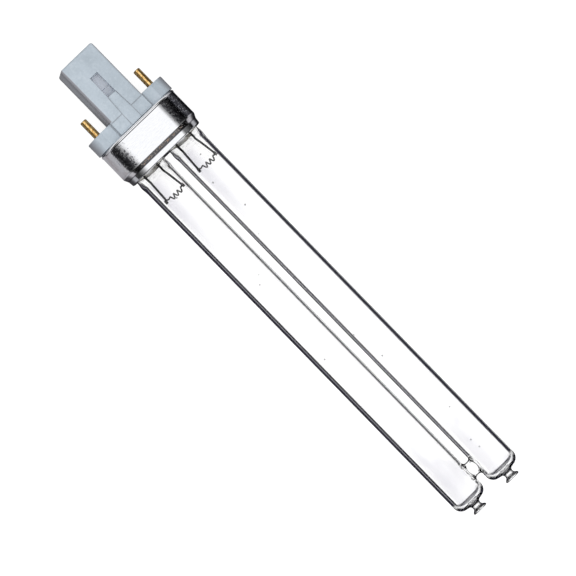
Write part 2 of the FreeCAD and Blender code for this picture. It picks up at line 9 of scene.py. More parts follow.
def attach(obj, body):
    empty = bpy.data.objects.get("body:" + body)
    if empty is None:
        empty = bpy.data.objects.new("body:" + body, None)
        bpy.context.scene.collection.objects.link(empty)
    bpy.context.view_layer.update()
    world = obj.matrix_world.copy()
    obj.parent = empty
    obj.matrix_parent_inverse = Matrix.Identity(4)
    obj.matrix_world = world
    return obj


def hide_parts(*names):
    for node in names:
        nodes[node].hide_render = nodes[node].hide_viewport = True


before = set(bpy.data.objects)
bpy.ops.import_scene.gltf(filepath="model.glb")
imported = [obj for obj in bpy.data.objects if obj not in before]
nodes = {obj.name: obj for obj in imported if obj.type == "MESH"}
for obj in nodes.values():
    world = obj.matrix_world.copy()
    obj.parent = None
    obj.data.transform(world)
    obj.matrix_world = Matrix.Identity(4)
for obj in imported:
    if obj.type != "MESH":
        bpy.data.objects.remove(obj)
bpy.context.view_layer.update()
scene = bpy.context.scene

# ------------------------------------------------------------------ lamp axes to row frame
# The lamp is drawn along its own x axis in millimetres, 0 at the shoulder the pins stand out of,
# and lies tipped by ALPHA with its tips low.
ALPHA = math.radians(1.29038)
CA, SA = math.cos(ALPHA), math.sin(ALPHA)
SX, SZ = -71.59141, 9.34452


def row(x, y, z):
    return Vector(((x * CA + z * SA + SX) * 1e-3, y * 1e-3, (-x * SA + z * CA + SZ) * 1e-3))


def row_dir(x, y, z):
    return Vector((x * CA + z * SA, y, -x * SA + z * CA)).normalized()


# ------------------------------------------------------------------ node helpers
def new_mat(name):
    m = bpy.data.materials.new(name)
    m.use_nodes = True
    m.node_tree.nodes.clear()
    return m


class Tree:
    def __init__(self, mat):
        self.t = mat.node_tree
        self.out = self.t.nodes.new("ShaderNodeOutputMaterial")

    def node(self, kind, **inputs):
        n = self.t.nodes.new(kind)
        for k, v in inputs.items():
            self.put(n, k, v)
        return n

    def put(self, n, key, value):
        key = key.replace("_", " ") if isinstance(key, str) else key
        s = n.inputs[key]
        if isinstance(value, bpy.types.NodeSocket):
            self.t.links.new(value, s)
        else:
            s.default_value = value

    def link(self, a, b):
        self.t.links.new(a, b)

    def math(self, op, a, b=None, c=None, clamp=False):
        n = self.t.nodes.new("ShaderNodeMath")
        n.operation = op
        n.use_clamp = clamp
        for i, v in enumerate((a, b, c)):
            if v is None:
                continue
            if isinstance(v, bpy.types.NodeSocket):
                self.t.links.new(v, n.inputs[i])
            else:
                n.inputs[i].default_value = v
        return n.outputs[0]

    def ramp(self, fac, stops, interp="LINEAR"):
        n = self.t.nodes.new("ShaderNodeValToRGB")
        n.color_ramp.interpolation = interp
        el = n.color_ramp.elements
        while len(el) > 1:
            el.remove(el[-1])
        first = True
        for pos, col in stops:
            c = (col, col, col, 1) if isinstance(col, (int, float)) else tuple(col) + (1,)
            if first:
                el[0].position = pos
                el[0].color = c
                first = False
            else:
                e = el.new(pos)
                e.color = c
        self.t.links.new(fac, n.inputs[0])
        return n.outputs[0]

    def mix(self, fac, a, b, blend="MIX"):
        n = self.t.nodes.new("ShaderNodeMix")
        n.data_type = "RGBA"
        n.blend_type = blend
        for key, v in ((0, fac), (6, a), (7, b)):
            if isinstance(v, bpy.types.NodeSocket):
                self.t.links.new(v, n.inputs[key])
            elif key and isinstance(v, (tuple, list)):
                n.inputs[key].default_value = tuple(v) + (1,) if len(v) == 3 else v
            else:
                n.inputs[key].default_value = v
        return n.outputs[2]

    def noise(self, scale, detail=3.0, rough=0.55, vector=None, w=0.0):
        n = self.t.nodes.new("ShaderNodeTexNoise")
        n.noise_dimensions = "4D"
        n.inputs["Scale"].default_value = scale
        n.inputs["Detail"].default_value = detail
        n.inputs["Roughness"].default_value = rough
        n.inputs["W"].default_value = w
        if vector is not None:
            self.t.links.new(vector, n.inputs["Vector"])
        return n.outputs[0]

    def coords(self, scale=(1, 1, 1), loc=(0, 0, 0)):
        c = self.t.nodes.new("ShaderNodeTexCoord")
        m = self.t.nodes.new("ShaderNodeMapping")
        m.inputs["Scale"].default_value = scale
        m.inputs["Location"].default_value = loc
        self.t.links.new(c.outputs["Object"], m.inputs["Vector"])
        return m.outputs[0]

    def bump(self, height, strength, distance, normal=None):
        n = self.t.nodes.new("ShaderNodeBump")
        n.inputs["Strength"].default_value = strength
        n.inputs["Distance"].default_value = distance
        self.t.links.new(height, n.inputs["Height"])
        if normal is not None:
            self.t.links.new(normal, n.inputs["Normal"])
        return n.outputs[0]

    def bevel(self, radius, samples=4):
        n = self.t.nodes.new("ShaderNodeBevel")
        n.samples = samples
        n.inputs["Radius"].default_value = radius
        return n.outputs[0]

    def lamp_axes(self):
        """The point's place along, across and through the lamp, in millimetres."""
        c = self.t.nodes.new("ShaderNodeTexCoord").outputs["Object"]

        def dot(x, y, z, add):
            n = self.t.nodes.new("ShaderNodeVectorMath")
            n.operation = "DOT_PRODUCT"
            self.t.links.new(c, n.inputs[0])
            n.inputs[1].default_value = (x * 1000.0, y * 1000.0, z * 1000.0)
            return self.math("ADD", n.outputs["Value"], add)
        return (dot(CA, 0, -SA, -(SX * CA - SZ * SA)), dot(0, 1, 0, 0.0), dot(SA, 0, CA, -(SX * SA + SZ * CA)))

    def step(self, v, a, b):
        """Smooth step: 0 at a, 1 at b (b may be the lower one)."""
        n = self.t.nodes.new("ShaderNodeMapRange")
        n.interpolation_type = "SMOOTHSTEP"
        self.t.links.new(v, n.inputs["Value"])
        lo, hi = (a, b) if a < b else (b, a)
        n.inputs["From Min"].default_value = lo
        n.inputs["From Max"].default_value = hi
        n.inputs["To Min"].default_value = 0.0 if a < b else 1.0
        n.inputs["To Max"].default_value = 1.0 if a < b else 0.0
        return n.outputs[0]

    def times(self, *vals):
        out = vals[0]
        for v in vals[1:]:
            out = self.math("MULTIPLY", out, v)
        return out

    def surface(self, shader):
        self.t.links.new(shader, self.out.inputs["Surface"])

    def principled(self, **kw):
        return self.node("ShaderNodeBsdfPrincipled", **kw)


def mat_plastic():
    m = new_mat("moulded_plastic")
    t = Tree(m)
    co = t.coords()
    fine = t.noise(2600, 2, 0.6, co)
    broad = t.noise(230, 4, 0.6, co, 3.1)
    speck = t.noise(5200, 2, 0.5, co, 7.7)
    col = t.ramp(broad, [(0.32, (0.385, 0.445, 0.50)), (0.55, (0.435, 0.50, 0.56)), (0.72, (0.465, 0.525, 0.585))])
    col = t.mix(t.math("MULTIPLY", t.step(speck, 0.60, 0.72), 0.22), col, (0.33, 0.36, 0.40))
    grain = t.noise(1300, 3, 0.7, co, 5.3)
    col = t.mix(t.math("MULTIPLY", t.step(grain, 0.52, 0.62), 0.45), col, (0.505, 0.565, 0.62))
    col = t.mix(t.math("MULTIPLY", t.step(grain, 0.46, 0.36), 0.40), col, (0.375, 0.425, 0.475))
    x, y, z = t.lamp_axes()
    ay, az = t.math("ABSOLUTE", y), t.math("ABSOLUTE", z)
    front = t.step(az, 8.0, 8.3)
    # painted shade: dark lines along the edges of the latch channel
    half = t.math("MULTIPLY_ADD", x, 0.0490, 1.65 + 6.13 * 0.0490)
    half = t.math("MINIMUM", t.math("MAXIMUM", half, 1.55), 1.97)
    off = t.math("ABSOLUTE", t.math("SUBTRACT", ay, half))
    line = t.times(t.step(off, 0.24, 0.06), front, t.step(x, -6.3, -6.1))
    pocket = t.times(t.step(ay, 1.85, 1.75), t.step(x, -14.6, -14.4), t.step(x, -6.1, -6.25), t.step(az, 8.3, 8.0))
    # painted shade: dark lines along the top edge and outer sides of the neck's panels
    top = t.times(t.step(t.math("ABSOLUTE", t.math("SUBTRACT", x, 0.42)), 0.26, 0.08), t.step(ay, 1.9, 2.0), front)
    # painted shade: dark lines along the long edges and end edges of the post and round its root
    side = t.times(t.step(ay, 6.45, 6.70), t.step(az, 7.9, 8.3), 0.5)
    end = t.times(t.step(x, -21.95, -22.12), t.step(az, 7.8, 8.1))
    root = t.times(t.step(t.math("ABSOLUTE", t.math("SUBTRACT", ay, 6.95)), 0.35, 0.1), t.step(x, -0.05, 0.1), t.step(az, 6.9, 7.1))
    # all these painted dark edge lines, fainter towards the post's end, are mixed in as a dark grey
    painted_edge_lines = t.math("MAXIMUM", t.math("MAXIMUM", line, top), t.math("MAXIMUM", t.math("MAXIMUM", side, end), root))
    painted_edge_lines = t.times(painted_edge_lines, t.math("MULTIPLY_ADD", t.step(x, -9.6, -8.8), 0.8, 0.2), t.ramp(t.noise(420, 3, 0.6, co, 1.9), [(0.3, 0.45), (0.7, 0.75)]))
    col = t.mix(painted_edge_lines, col, (0.24, 0.255, 0.285))
    # painted light: the latch pocket's floor is lightened against its own shade
    col = t.mix(t.math("MULTIPLY", pocket, 0.85), col, (0.54, 0.57, 0.63))
    # painted shade: the front and back faces are darker on the +y side
    col = t.mix(t.times(t.step(y, -1.5, 3.0), t.step(az, 5.0, 7.0), 0.8), col, (0.91, 0.915, 0.92), "MULTIPLY")
    # painted shade: the platforms' outer ends are darker
    ends = t.times(t.step(ay, 12.7, 15.4), t.step(x, -0.05, 0.05), t.step(x, 5.2, 5.1))
    col = t.mix(t.math("MULTIPLY", ends, 0.85), col, (0.235, 0.235, 0.26))
    # painted shade on the post's narrow sides: a streaky grey, darker towards the front and back, and darkest in a
    # strip along the front's left rounded edge
    streak = t.noise(160, 3, 0.6, t.coords((0.35, 1, 1)), 5.0)
    # painted shade: a strip along the left rounded edge of the post's face
    painted_edge_shade = t.step(t.math("MULTIPLY_ADD", t.noise(300, 3, 0.6, co, 8.8), 0.25, y), -5.80, -6.00)
    narrow = t.times(t.math("MAXIMUM", t.step(ay, 6.30, 6.60), painted_edge_shade), t.step(ay, 7.6, 7.4), t.step(x, 0.05, -0.05))
    col = t.mix(t.times(narrow, t.ramp(streak, [(0.35, 0.7), (0.65, 0.95)])), col, (0.41, 0.405, 0.435))
    col = t.mix(t.times(narrow, t.step(az, 3.6, 5.2), 0.55), col, (0.29, 0.29, 0.315))
    col = t.mix(t.times(narrow, painted_edge_shade, t.step(az, 7.2, 8.0), 0.9), col, (0.245, 0.245, 0.27))
    rough = t.ramp(fine, [(0.3, 0.42), (0.7, 0.56)])
    nrm = t.bump(fine, 0.10, 0.00004)
    p = t.principled(Base_Color=col, Roughness=rough, Normal=nrm)
    p.inputs["IOR"].default_value = 1.5
    t.surface(p.outputs[0])
    return m


def mat_brass():
    m = new_mat("drawn_brass")
    t = Tree(m)
    co = t.coords((1, 60, 60))
    streak = t.noise(900, 3, 0.6, co)
    spots = t.noise(1400, 3, 0.6, t.coords(), 2.0)
    col = t.mix(t.step(spots, 0.46, 0.58), (0.98, 0.70, 0.31), (0.61, 0.34, 0.105))
    rough = t.ramp(streak, [(0.3, 0.06), (0.7, 0.14)])
    nrm = t.bump(streak, 0.10, 0.00002)
    p = t.principled(Base_Color=col, Roughness=rough, Normal=nrm)
    p.inputs["Metallic"].default_value = 1.0
    t.surface(p.outputs[0])
    return m


def mat_shell():
    m = new_mat("polished_shell")
    t = Tree(m)
    co = t.coords()
    wobble = t.noise(260, 3, 0.55, co, 1.3)
    brush = t.noise(700, 4, 0.6, t.coords((6, 1, 1)), 4.0)
    col = t.ramp(brush, [(0.3, (0.80, 0.81, 0.84)), (0.7, (0.90, 0.905, 0.925))])
    rough = t.ramp(brush, [(0.3, 0.10), (0.7, 0.2)])
    nrm = t.bump(wobble, 0.25, 0.00012)
    nrm = t.bump(brush, 0.08, 0.00003, nrm)
    grain = t.noise(3600, 3, 0.7, t.coords(), 6.0)
    nrm = t.bump(grain, 0.35, 0.00002, nrm)
    x, y, z = t.lamp_axes()
    ay = t.math("ABSOLUTE", y)
    # the rounded corners get a dark pitted grain, denser towards the ends: partly pitting, partly painted dark
    # reflection
    pits_and_dark_reflection = t.noise(1750, 3, 0.75, t.coords((0.85, 1, 1)), 11.0)
    glints = t.noise(2100, 2, 0.6, t.coords((0.85, 1, 1)), 14.0)
    clean = t.step(ay, 14.8, 14.1)                                        # the flat sides stay bright
    wall = t.times(t.step(x, 15.2, 14.7), t.step(x, 5.9, 6.5), clean)
    lower = t.step(x, 5.6, 12.5)
    reach = t.math("MULTIPLY_ADD", lower, -1.0, 9.2)                       # where the pitting and the painted dark reflection begin, lower down nearer the middle
    dens = t.math("MULTIPLY", t.math("SUBTRACT", ay, reach), 0.42, clamp=True)
    dark = t.step(t.math("MULTIPLY_ADD", dens, 0.17, pits_and_dark_reflection), 0.585, 0.635)
    over = t.times(wall, t.step(y, -12.9, -12.5), t.step(ay, 7.4, 8.4))
    # painted dark reflection on the rounded corners, broken up by the pitted grain
    col = t.mix(t.times(over, dark, 0.9), col, (0.10, 0.10, 0.12), "MULTIPLY")
    # painted dark reflection over the right end, with small glints left bright in it
    col = t.mix(t.times(wall, t.step(y, 8.3, 9.0), t.step(glints, 0.60, 0.52), 0.85), col, (0.20, 0.20, 0.225), "MULTIPLY")
    # mottled pinkish and bluish greys on the left end only
    left_end_mottle = t.noise(520, 4, 0.65, t.coords((0.6, 1, 1)), 17.0)
    col = t.mix(t.times(t.step(x, 15.2, 14.7), t.step(y, -12.4, -12.9), t.step(left_end_mottle, 0.46, 0.62), 0.55), col, (0.62, 0.56, 0.56))
    col = t.mix(t.times(t.step(x, 15.2, 14.7), t.step(y, -12.4, -12.9), t.step(left_end_mottle, 0.42, 0.30), 0.6), col, (0.50, 0.50, 0.56))
    nrm = t.bump(t.times(pits_and_dark_reflection, wall, t.step(ay, 8.0, 9.5)), 0.5, 0.00008, nrm)
    groove = t.times(t.step(x, 15.25, 15.5), t.step(x, 17.15, 16.8))
    speck = t.noise(2300, 2, 0.5, t.coords((1, 0.6, 1)), 9.0)
    middle = t.step(t.math("ABSOLUTE", t.math("SUBTRACT", x, 16.05)), 0.85, 0.45)
    # painted shade in the crimp groove, with a painted highlight along its middle
    col = t.mix(groove, col, (0.24, 0.235, 0.26))
    col = t.mix(t.times(groove, middle), col, (1.0, 0.98, 1.0))
    fleck = t.times(groove, t.step(speck, 0.54, 0.62), t.step(ay, 9.6, 8.6), t.step(t.math("ABSOLUTE", t.math("SUBTRACT", x, 16.05)), 0.5, 0.3))
    col = t.mix(fleck, col, (0.23, 0.135, 0.075))
    p = t.principled(Base_Color=col, Roughness=rough, Normal=nrm, Metallic=t.math("SUBTRACT", 1.0, fleck))
    t.surface(p.outputs[0])
    return m


def mat_wire(name, a, b, rough=(0.3, 0.5), metallic=1.0, scale=1800):
    m = new_mat(name)
    t = Tree(m)
    n = t.noise(scale, 3, 0.6, t.coords())
    col = t.ramp(n, [(0.3, a), (0.7, b)])
    r = t.ramp(n, [(0.3, rough[0]), (0.7, rough[1])])
    nrm = t.bump(n, 0.15, 0.00003)
    p = t.principled(Base_Color=col, Roughness=r, Normal=nrm)
    p.inputs["Metallic"].default_value = metallic
    t.surface(p.outputs[0])
    return m


def mat_glass(name, tints, open_col=(0.99, 0.992, 0.994), specks_and_shade=False, tip=None, stub=None, bridge=None, turned=None):
    """Clear glass whose edges darken as painted shade: the glass tint darkens by facing angle, with its own
    ramp on each side of each leg for how the light falls. tints holds the facing ramps of the left leg's left and
    right sides and of the right leg's left and right sides, or one ramp for all; turned holds the
    same for light that was reflected inside the wall; tip, stub and bridge are the ramps of the
    domed ends, the flared stubs and the bridge. The tubes' glass can also carry dark specks,
    lilac-grey patches and a painted shadow of the press seal."""
    m = new_mat(name)
    t = Tree(m)
    lw = t.t.nodes.new("ShaderNodeLayerWeight")
    lw.inputs["Blend"].default_value = 0.5
    facing = lw.outputs["Facing"]
    lp = t.t.nodes.new("ShaderNodeLightPath")
    ramps = [t.ramp(facing, st) for st in tints]
    if turned:
        geo = t.t.nodes.new("ShaderNodeNewGeometry")
        inside = lp.outputs["Is Reflection Ray"]
        if len(turned) == 4:
            inside = t.math("MULTIPLY", inside, geo.outputs["Backfacing"])
        dark = [t.ramp(facing, st) for st in turned]
        ramps = [t.mix(inside, r, dark[i % len(dark)]) for i, r in enumerate(ramps)]
    # painted shade: each side of each leg gets its own edge darkening, for how the light falls
    if len(ramps) == 4:
        pos = t.t.nodes.new("ShaderNodeSeparateXYZ")
        t.link(t.coords(), pos.inputs[0])
        y = pos.outputs["Y"]
        leg = t.math("GREATER_THAN", y, 0.0)
        off = t.math("SUBTRACT", t.math("ABSOLUTE", y), LEG_Y * 1e-3)      # outwards from the leg's axis
        side = t.math("MULTIPLY_ADD", t.math("MULTIPLY", off, t.math("SIGN", y)), 250.0, 0.5, clamp=True)
        tint = t.mix(leg, t.mix(side, ramps[0], ramps[1]), t.mix(side, ramps[2], ramps[3]))
    else:
        tint = ramps[0]
    if tip or stub or bridge or specks_and_shade:
        x, yy, z = t.lamp_axes()
    if bridge:
        tint = t.mix(t.times(t.step(t.math("ABSOLUTE", t.math("SUBTRACT", x, 154.6)), 3.6, 3.3), t.step(t.math("ABSOLUTE", yy), 2.3, 1.9)),
                     tint, t.ramp(facing, bridge))
    if tip:
        tint = t.mix(t.step(x, 158.8, 160.6), tint, t.ramp(facing, tip))
    if stub:
        tint = t.mix(t.step(x, 162.65, 162.9), tint, t.ramp(facing, stub))
    if specks_and_shade:
        rel = t.math("MULTIPLY", t.math("SUBTRACT", t.math("ABSOLUTE", yy), LEG_Y), t.math("SIGN", yy))
        cloud = t.noise(120, 3, 0.55, t.coords((0.4, 1, 1)), 2.2)
        patch = t.noise(75, 2, 0.5, t.coords((0.6, 1, 1)), 8.2)
        # lilac-grey darkening in patches along one side of each leg near the shell, towards the far end and at the
        # domed ends' edges
        near = t.times(t.step(rel, -4.9, -3.6), t.step(rel, 1.6, -1.8), t.step(x, 20.0, 24.0), t.step(x, 60.0, 29.0), 0.9)
        far = t.times(t.step(x, 126.0, 152.0), t.step(x, 162.6, 161.6), t.step(rel, -4.9, -3.9), t.step(rel, 3.4, -2.0), 0.55)
        edge = t.times(t.step(x, 156.5, 160.5), t.step(x, 162.6, 161.6), t.step(t.math("ABSOLUTE", rel), 5.2, 4.2), 0.4)
        lilac_patches = t.times(t.math("MAXIMUM", near, t.math("MAXIMUM", far, edge)), t.ramp(cloud, [(0.3, 0.55), (0.62, 1.0)]))
        lilac_patches = t.math("MAXIMUM", lilac_patches, t.times(t.step(patch, 0.60, 0.72), t.step(x, 116.0, 130.0), t.step(t.math("ABSOLUTE", rel), 5.0, 4.0), 0.9))
        tint = t.mix(lilac_patches, tint, (0.72, 0.71, 0.765), "MULTIPLY")
        # painted shadow of the press seal across the legs where they leave the shell
        press_seal_shadow_noise = t.noise(650, 4, 0.65, t.coords((1.6, 0.7, 0.7)), 4.4)
        press_seal_shadow = t.times(t.step(press_seal_shadow_noise, 0.50, 0.64), t.step(x, 18.0, 19.0), t.step(x, 22.6, 20.6))
        tint = t.mix(t.math("MULTIPLY", press_seal_shadow, 0.55), tint, (0.42, 0.41, 0.44), "MULTIPLY")
        v = t.t.nodes.new("ShaderNodeTexVoronoi")
        v.inputs["Scale"].default_value = 150.0
        t.link(t.coords(), v.inputs["Vector"])
        dots = t.step(v.outputs["Distance"], 0.052, 0.036)
        tint = t.mix(t.math("MULTIPLY", dots, 0.9), tint, (0.05, 0.05, 0.055), "MULTIPLY")
    p = t.principled(Base_Color=tint)
    p.inputs["Roughness"].default_value = 0.0
    p.inputs["IOR"].default_value = 1.47
    p.inputs["Transmission Weight"].default_value = 1.0
    tr = t.t.nodes.new("ShaderNodeBsdfTransparent")
    tr.inputs["Color"].default_value = tuple(open_col) + (1,)
    inner = t.t.nodes.new("ShaderNodeMixShader")
    t.link(lp.outputs["Is Diffuse Ray"], inner.inputs[0])
    t.link(p.outputs[0], inner.inputs[1])
    t.link(tr.outputs[0], inner.inputs[2])
    mx = t.t.nodes.new("ShaderNodeMixShader")
    t.link(lp.outputs["Is Shadow Ray"], mx.inputs[0])
    t.link(inner.outputs[0], mx.inputs[1])
    t.link(tr.outputs[0], mx.inputs[2])
    t.surface(mx.outputs[0])
    return m


# ------------------------------------------------------------------ mesh builder
class Builder:
    def __init__(self):
        self.v = []
        self.f = []
        self.m = []

    def add(self, p):
        self.v.append(p)
        return len(self.v) - 1

    def quad(self, a, b, c, d, mi=0):
        if len({a, b, c, d}) < 4:
            k = []
            for i in (a, b, c, d):
                if i not in k:
                    k.append(i)
            if len(k) < 3:
                return
            self.f.append(tuple(k))
        else:
            self.f.append((a, b, c, d))
        self.m.append(mi)

    def ring(self, pts):
        return [self.add(p) for p in pts]

    def join(self, r0, r1, mi=0, flip=False):
        n = len(r0)
        for j in range(n):
            k = (j + 1) % n
            if flip:
                self.quad(r0[j], r1[j], r1[k], r0[k], mi)
            else:
                self.quad(r0[j], r0[k], r1[k], r1[j], mi)

    def fan(self, ring, centre, mi=0, flip=False):
        n = len(ring)
        for j in range(n):
            k = (j + 1) % n
            self.f.append((ring[j], centre, ring[k]) if flip else (ring[j], ring[k], centre))
            self.m.append(mi)

    def object(self, name, mats, smooth=True, hollow=()):
        me = bpy.data.meshes.new(name)
        me.from_pydata([tuple(row(*p)) for p in self.v], [], self.f)
        for mat in mats:
            me.materials.append(mat)
        me.polygons.foreach_set("material_index", self.m)
        me.update()
        bm = bmesh.new()
        bm.from_mesh(me)
        for mi in sorted(set(self.m)):
            faces = [f for f in bm.faces if f.material_index == mi]
            bmesh.ops.recalc_face_normals(bm, faces=faces)
            vol = 0.0
            for f in faces:
                vs = [v.co for v in f.verts]
                for i in range(1, len(vs) - 1):
                    vol += vs[0].dot(vs[i].cross(vs[i + 1]))
            if (vol < 0) != (mi in hollow):
                bmesh.ops.reverse_faces(bm, faces=faces)
        bm.to_mesh(me)
        bm.free()
        me.polygons.foreach_set("use_smooth", [smooth] * len(me.polygons))
        me.update()
        o = bpy.data.objects.new(name, me)
        scene.collection.objects.link(o)
        return o


def arc_pts(cx, cy, r, a0, a1, n, skip=0):
    return [(cx + r * math.cos(math.radians(a0 + (a1 - a0) * i / n)),
             cy + r * math.sin(math.radians(a0 + (a1 - a0) * i / n))) for i in range(skip, n + 1)]


# ------------------------------------------------------------------ glass envelope
R, RI = 5.75, 4.80
LEG_Y = 7.05
END_X, CORNER, DOME = 162.8, 2.9, 0.25
BX, BR, BB = 154.6, 2.65, 1.75
NECK_R, RIM_R, RIM_X, BORE_R = 1.6, 2.55, 165.55, 0.95


def smooth01(t):
    t = max(0.0, min(1.0, t))
    return t * t * (3 - 2 * t)


def eased(x, pts, reach=0.55):
    """The polyline through pts at x, rounded over reach on both sides."""
    xs, ys = [p[0] for p in pts], [p[1] for p in pts]
    return sum(np.interp(x + reach * k / 4.0, xs, ys) * (5 - abs(k)) for k in range(-4, 5)) / 25.0


def press_outer(x):
    """Half width, half height and squareness of the leg's outside near the pinch."""
    pts = [(10.2, 1.45), (14.6, 1.45), (15.8, 1.75), (16.8, 2.45), (18.2, 3.85), (19.0, 4.75), (19.8, 5.4), (20.6, 5.75), (24.0, 5.75)]
    h = eased(x, pts)
    swell = 0.22 * math.exp(-((x - 21.2) / 1.25) ** 2)
    w = R + (swell if x > 17 else 0)
    h = min(h, R) + (swell if x > 20.0 else 0) * smooth01((x - 20.0) / 1.2)
    n = 2.0 + 3.0 * smooth01((19.5 - x) / 5.0)
    return w, h, n


def press_inner(x):
    pts = [(14.4, 0.42), (15.8, 0.55), (17.2, 1.25), (18.2, 2.2), (19.2, 3.2), (20.0, 4.0), (20.8, 4.55), (21.6, RI), (24.0, RI)]
    h = eased(x, pts, 0.8)
    w = RI * (1 - 0.30 * smooth01((18.0 - x) / 3.6))
    n = 2.0 + 1.6 * smooth01((19.8 - x) / 5.0)
    return w, h, n


def section(y0, s, w, h, n, x, count):
    out = []
    for j in range(count):
        a = 2 * math.pi * j / count
        c, q = math.cos(a), math.sin(a)
        yy = w * math.copysign(abs(c) ** (2 / n), c)
        zz = h * math.copysign(abs(q) ** (2 / n), q)
        out.append((x, y0 - s * yy, zz))
    return out


def skin(b, s, count, xs, rad_of, tail, bore, mi, bridge):
    """One leg's surface. s is the side; rad_of gives the section at each station xs; tail is the
    turned far end as (x, r), closed on the axis; bridge holds the opening towards the other leg."""
    y0 = s * LEG_Y
    flip = (s > 0) != bore
    rings = []
    for x in xs:
        w, h, n = rad_of(x)
        rings.append(b.ring(section(y0, s, w, h, n, x, count)))
    br, fil, i0, i1, J = bridge
    r_leg = RI if bore else R
    for i in range(len(rings) - 1):
        for j in range(count):
            k = (j + 1) % count
            jj = j if j < count / 2 else j - count
            if i0 <= i < i1 and -J <= jj < J:
                continue
            r0, r1 = rings[i], rings[i + 1]
            if flip:
                b.quad(r0[j], r0[k], r1[k], r1[j], mi)
            else:
                b.quad(r0[j], r1[j], r1[k], r0[k], mi)
    # near end
    first = rings[0]
    w, h, n = rad_of(xs[0])
    c = b.add((xs[0] - (0.0 if not bore else 0.25), y0, 0))
    prev = first
    for q in (0.8, 0.55, 0.3):
        nr = b.ring([(xs[0] - (0 if not bore else 0.25 * (1 - q)), y0 + (b.v[i][1] - y0) * q, b.v[i][2] * q) for i in first])
        b.join(prev, nr, mi, flip)
        prev = nr
    b.fan(prev, c, mi, not flip)
    # far end
    prev = rings[-1]
    for x, r in tail[:-1]:
        nr = b.ring([(x, y0 - s * r * math.cos(2 * math.pi * j / count), r * math.sin(2 * math.pi * j / count)) for j in range(count)])
        b.join(prev, nr, mi, not flip)
        prev = nr
    c = b.add((tail[-1][0], y0, 0))
    b.fan(prev, c, mi, flip)
    # opening towards the bridge
    loop = []
    for i in range(i0, i1):
        loop.append((i, -J))
    for j in range(-J, J):
        loop.append((i1, j))
    for i in range(i1, i0, -1):
        loop.append((i, J))
    for j in range(J, -J, -1):
        loop.append((i0, j))
    outer = [rings[i][j % count] for i, j in loop]
    par = [(xs[i] - BX, r_leg * 2 * math.pi * j / count) for i, j in loop]
    phi = [math.atan2(v, u) for u, v in par]
    hole, arcs = [], []
    for p in phi:
        cp, sp = math.cos(p), math.sin(p)

        def leg_y(rho):
            zz = rho * sp
            return LEG_Y - math.sqrt(max(1e-9, r_leg ** 2 - zz ** 2))
        # centre of the fillet arc in the plane of this angle
        rc = br + fil
        best = None
        for k in range(400):
            rho = br + fil * 1.3 * k / 399.0
            e = 1e-3
            slope = (leg_y(rho + e) - leg_y(rho - e)) / (2 * e)
            nx, ny = slope / math.hypot(1, slope), -1 / math.hypot(1, slope)
            cx, cy = rho + nx * fil, leg_y(rho) + ny * fil
            d = abs(cx - rc)
            if best is None or d < best[0]:
                best = (d, rho, cy)
        _, rt, yc = best
        hole.append((rt, p))
        yt = leg_y(rt)
        a_end = math.degrees(math.atan2(yt - yc, rt - rc))
        # from the leg's tangent point round to the bridge's side, at angle 180
        if a_end < 0:
            a_end += 360
        steps = 8
        arc = []
        for k in range(1, steps + 1):
            a = math.radians(a_end + (180 - a_end) * k / steps)
            arc.append((rc + fil * math.cos(a), yc + fil * math.sin(a)))
        arcs.append(arc)
    prev = outer
    K = 6
    for k in range(1, K + 1):
        f = k / K
        f = f ** 0.8
        pts = []
        for (u, v), (rt, p) in zip(par, hole):
            hx = rt * math.cos(p)
            hz = rt * math.sin(p)
            hv = r_leg * math.asin(max(-1, min(1, hz / r_leg)))
            uu, vv = u + (hx - u) * f, v + (hv - v) * f
            th = vv / r_leg
            pts.append((BX + uu, y0 - s * r_leg * math.cos(th), r_leg * math.sin(th)))
        nr = b.ring(pts)
        b.join(prev, nr, mi, flip)
        prev = nr
    for k in range(8):
        pts = []
        for arc, p in zip(arcs, phi):
            rho, yy = arc[k]
            pts.append((BX + rho * math.cos(p), s * yy, rho * math.sin(p)))
        nr = b.ring(pts)
        b.join(prev, nr, mi, flip)
        prev = nr
    return prev, phi


